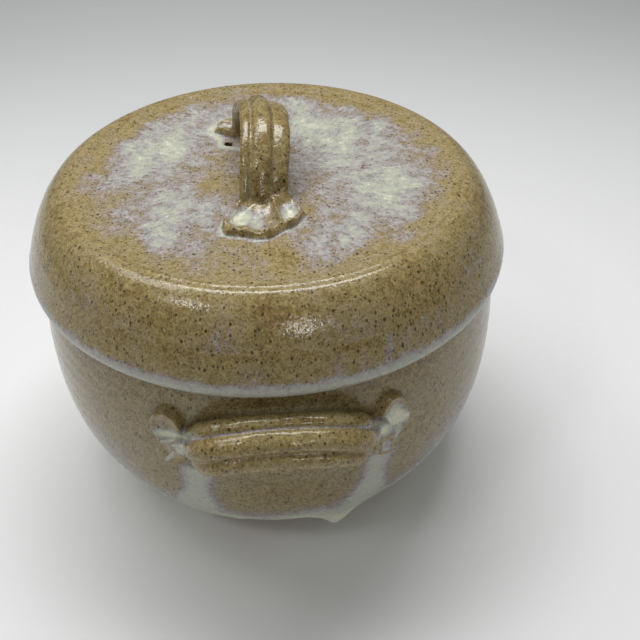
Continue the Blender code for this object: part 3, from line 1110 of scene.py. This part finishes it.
# Ends thumbed down on the wall: (azimuth in degrees, height in mm, outline, dents, thickness of the
# sheet in mm, glaze in the dents).
LOOP_FEET = (
    (-24.4, 112.5, oval(8.2, 9, 0.03), ((0, 0, 7.2, 8, 1.7),), 4.6, 0.10),
    (-23.4, 98, oval(7.6, 9, 0.05), ((-0.8, 0, 6, 7.4, 1.6),), 4.2, 0.26),
    (24.6, 109, oval(8.2, 13.4, 0.04), ((0.4, 0, 7, 12, 1.9),), 4.4, 0.60),
    (22.6, 94, oval(7, 8, 0.04), ((0.5, -1, 4.5, 5, 0.8),), 3.6, 0.50),
    (-20.4, 106, oval(4.5, 5), ((0, 0, 4, 4, 0.6),), 8, 0.62),
    (20.8, 108, oval(4.5, 5), ((0, 0, 4, 4, 0.6),), 8, 0.62),
)

# Milky glaze caught in the creases beside the loop: two ends as (azimuth, height) in degrees and mm,
# and the half width in mm.
LOOP_CREASES = (
    ((-27.5, 101), (-21.5, 108.5), 1.6),
    ((-25.6, 90), (-22, 100), 1.6),
    ((24, 114), (25.5, 98), 3.4),
    ((21, 107), (24.5, 112), 2.6),
    ((-21.5, 108), (-18.5, 110), 2.4),
    ((21, 107.5), (18, 109.5), 2),
)


def on_wall(azimuth, height_mm):
    """Maps (a, b, out) in mm round a place on the bowl's wall to a point."""

    def place(a, b, out):
        height = (height_mm + b) * MM
        radius = float(wall_radius(height))
        turn = azimuth + a * MM / radius
        lean = (radius - float(wall_radius(height - MM))) / MM
        outwards = Vector((sin(turn), -cos(turn), -lean)).normalized()
        return Vector((sin(turn) * radius, -cos(turn) * radius, height)) + outwards * (out * MM)

    return place


def loop_places(steps=50):
    """(centres, across, out) along the loop, from its -X end to its +X end."""
    beside = Vector((sin(LOOP_ROOT_AZIMUTH), -cos(LOOP_ROOT_AZIMUTH), 0))
    root = beside * (float(wall_radius(LOOP_ROOT_Z)) - 4 * MM) + Vector((0, 0, LOOP_ROOT_Z))
    leaving = root + Vector((1 * MM, -19 * MM, 9 * MM))
    apex = Vector((0, -LOOP_APEX_OUT, LOOP_APEX_Z))
    arriving = apex + Vector((LOOP_APEX_TANGENT, 0, 0))
    half = [Vector(p) for p in bezier(root, leaving, arriving, apex, steps).tolist()]
    centres = [Vector((-p.x, p.y, p.z)) for p in half] + half[-2::-1]
    upright = Vector((0, 0, 1))
    tilted = Vector((0, sin(LOOP_TILT), cos(LOOP_TILT)))
    last = len(centres) - 1
    across, out = [], []
    for step in range(len(centres)):
        along = (centres[min(step + 1, last)] - centres[max(step - 1, 0)]).normalized()
        side = upright.lerp(tilted, sin(pi * step / last) ** 0.6)
        side = (side - along * side.dot(along)).normalized()
        across.append(side)
        out.append(along.cross(side).normalized())
    return centres, across, out


def loop_pool(points, places, seed):
    """Thickness of the glaze on a side handle: milky in its upper groove, thumb marks and creases, and
    thinned as painted shade in its lower groove and on its lower rib.
    """
    share, side, proud = along_strap(points, places)
    from_end = np.minimum(share, 1 - share)
    radius, azimuth = polar(points)
    unrolled = azimuth * RIM_RADIUS / MM
    height = points[:, 2] / MM
    near_wall = ease_mm(radius - wall_radius(points[:, 2]), 14, 10)
    outward = (points[:, 1] < 0) * near_wall
    dent = np.zeros(len(points))
    for centre, middle, _, dents, _, glaze_in in LOOP_FEET:
        a = turn_gap(azimuth, radians(centre)) * radius / MM
        depth = dished(a, height - middle, dents) / dents[0][4]
        dent = np.maximum(dent, glaze_in * depth * near_wall)
    crease = np.zeros(len(points))
    for start, end, width in LOOP_CREASES:
        line = [(radians(angle) * RIM_RADIUS / MM, level) for angle, level in (start, end)]
        crease = np.maximum(crease, ridge(unrolled, height, *line, width) * outward)
    face = (proud > 0) * ease(np.abs(side), 1.15, 1.0)
    upper = bump(side, 0.46, 0.045 + 0.17 * ease(from_end, 0.25, 0.12)) * face
    # Painted shade: the lower groove gets thinner, darker glaze, for the shade under the main rib.
    lower = bump(side, -0.43, 0.05) * face
    hem = bump(side, -1.0, 0.06) * face
    pool = 0.29 + 0.44 * upper * (0.7 + 0.75 * ease(from_end, 0.26, 0.12)) - 0.16 * lower + 0.26 * hem
    # Painted shade: the lower rib, which faces down, is darkened by a thinner pool.
    pool -= 0.13 * ease(side, -0.42, -0.50) * face * (1 - hem)
    return np.maximum(pool + dent, 0.30 + 0.62 * crease) + 0.03 * drift(points, 6, seed)


def make_side_handle(piece, node, turn, seed):
    bm = bmesh.new()
    places = loop_places()
    from_end = share_from_end(places)
    wide = 1.00 - 0.18 * ease(from_end, 0.24, 0.04)
    thick = 1.0 + 0.15 * ease(from_end, 0.20, 0.0)
    swept(bm, strap_section(LOOP_RIBS, 4 * MM, 3.6 * MM), places, wide, thick)
    for centre, middle, outline, dents, sheet, _ in LOOP_FEET:

        def foot_height(a, b, share, dents=dents, sheet=sheet):
            return sheet - dished(a, b, dents)

        pad(bm, on_wall(radians(centre), middle), outline, foot_height)
    mesh = melted(node, bm)
    points = coordinates(mesh)
    points += vertex_normals(mesh) * (0.14 * MM * drift(points, 4, seed))[:, None]
    set_coordinates(mesh, points)
    set_fields(mesh, points, pool=loop_pool(points, places, seed + 1), rise=convexity(mesh, 8) / MM)
    mesh.transform(Matrix.Rotation(turn, 4, "Z"))
    finished(piece, mesh, "pot", node, glaze(piece + "_glaze", streaks=0.10, tone=0.92))


# ---- studio

FLOOR_RADIUS = 4.0
# The floor's colour near the pot, and the colour of its painted shade towards the back.
FLOOR_LIGHT = (0.90, 0.905, 0.905)
FLOOR_SHADE = (0.58, 0.585, 0.59)

# The sky's strength goes from the first level to the second as a direction turns to its brightest
# part, between these two cosines of the angle from it.
SKY_COLOUR = (0.97, 0.98, 0.97, 1)
SKY_BRIGHTEST_WAY = (0, 0.6, 0.8)
SKY_LEVELS = (0.05, 0.215)
SKY_COSINES = (-0.8, 0.9)

# Soft panels and small lamps: (name, place, what it points at, size, watts).
LIGHTS = (
    ("tent_top", (0.04, 0.38, 1.30), (0, 0.05, 0.1), (0.9, 0.42), 11.2),
    ("tent_left", (-0.62, 0.30, 1.25), (0, 0, 0.12), (0.6, 0.5), 3.7),
    ("lamp_left", (-0.60, -0.47, 1.05), (0, -0.05, 0.17), (0.17, 0.17), 1.15),
    ("lamp_front", (0.22, -1.05, 0.68), (0, -0.05, 0.17), (0.16, 0.16), 1.1),
)

CAMERA_PLACE = (0, -0.33635, 0.36712)
CAMERA_FORWARD = (0.06078, 0.74866, -0.66017)
CAMERA_RIGHT = (0.99643, -0.08432, -0.00389)
LENS = 41.6


def pale_sheet():
    """The floor's material, with painted shade that makes it a little darker towards the back."""
    material = bpy.data.materials.new("pale_sheet")
    s = Shader(material)
    place = s.node("TexCoord").outputs["Object"]
    weave = s.noise(s.scaled(place, (400.0,) * 3), 2)
    depth = s.node("SeparateXYZ", (place,)).outputs[1]
    near = s.plus(s.span(depth, 0.75, -0.05), weave, 0.06)
    s.drive({"Base Color": s.mix(near, FLOOR_SHADE, FLOOR_LIGHT), "Roughness": 0.75})
    return material


def make_floor():
    """A pale sheet under the pot."""
    bm = bmesh.new()
    bmesh.ops.create_circle(bm, cap_ends=True, segments=96, radius=FLOOR_RADIUS)
    floor = scene_object("floor", mesh_of(bm, "floor"))
    floor.data.materials.append(pale_sheet())


def make_sky():
    """A pale tent, brighter overhead and at the back than in front."""
    world = bpy.data.worlds.new("tent")
    bpy.context.scene.world = world
    s = Shader(world, "Background")
    direction = s.node("TexCoord").outputs["Generated"]
    facing = s.node("VectorMath", (direction, SKY_BRIGHTEST_WAY), operation="DOT_PRODUCT")
    level = s.node("MapRange", (facing.outputs["Value"], *SKY_COSINES, *SKY_LEVELS))
    s.drive({"Color": SKY_COLOUR, "Strength": level.outputs[0]})


def soft_light(name, place, target, size, watts):
    light = bpy.data.lights.new(name, "AREA")
    light.shape = "RECTANGLE"
    light.size, light.size_y = size
    light.energy = watts
    obj = scene_object(name, light)
    obj.location = place
    obj.rotation_euler = (Vector(target) - Vector(place)).to_track_quat("-Z", "Y").to_euler()


def place_camera():
    """Above the front, looking down at the lid."""
    camera = bpy.data.cameras.new("camera")
    camera.lens = LENS
    obj = scene_object("camera", camera)
    forward = Vector(CAMERA_FORWARD).normalized()
    right = Vector(CAMERA_RIGHT)
    right = (right - forward * right.dot(forward)).normalized()
    up = right.cross(forward)
    turn = Matrix((right, up, -forward)).transposed().to_4x4()
    obj.matrix_world = Matrix.Translation(CAMERA_PLACE) @ turn
    bpy.context.scene.camera = obj


# ---- the pot

make_bowl()
make_lid()
make_lid_handle()
make_side_handle("casserole_front_handle", "side_handle_front", 0, 51)
make_side_handle("casserole_rear_handle", "side_handle_rear", pi, 61)
make_floor()
make_sky()
for light in LIGHTS:
    soft_light(*light)
place_camera()
bpy.context.scene.view_settings.view_transform = "Standard"
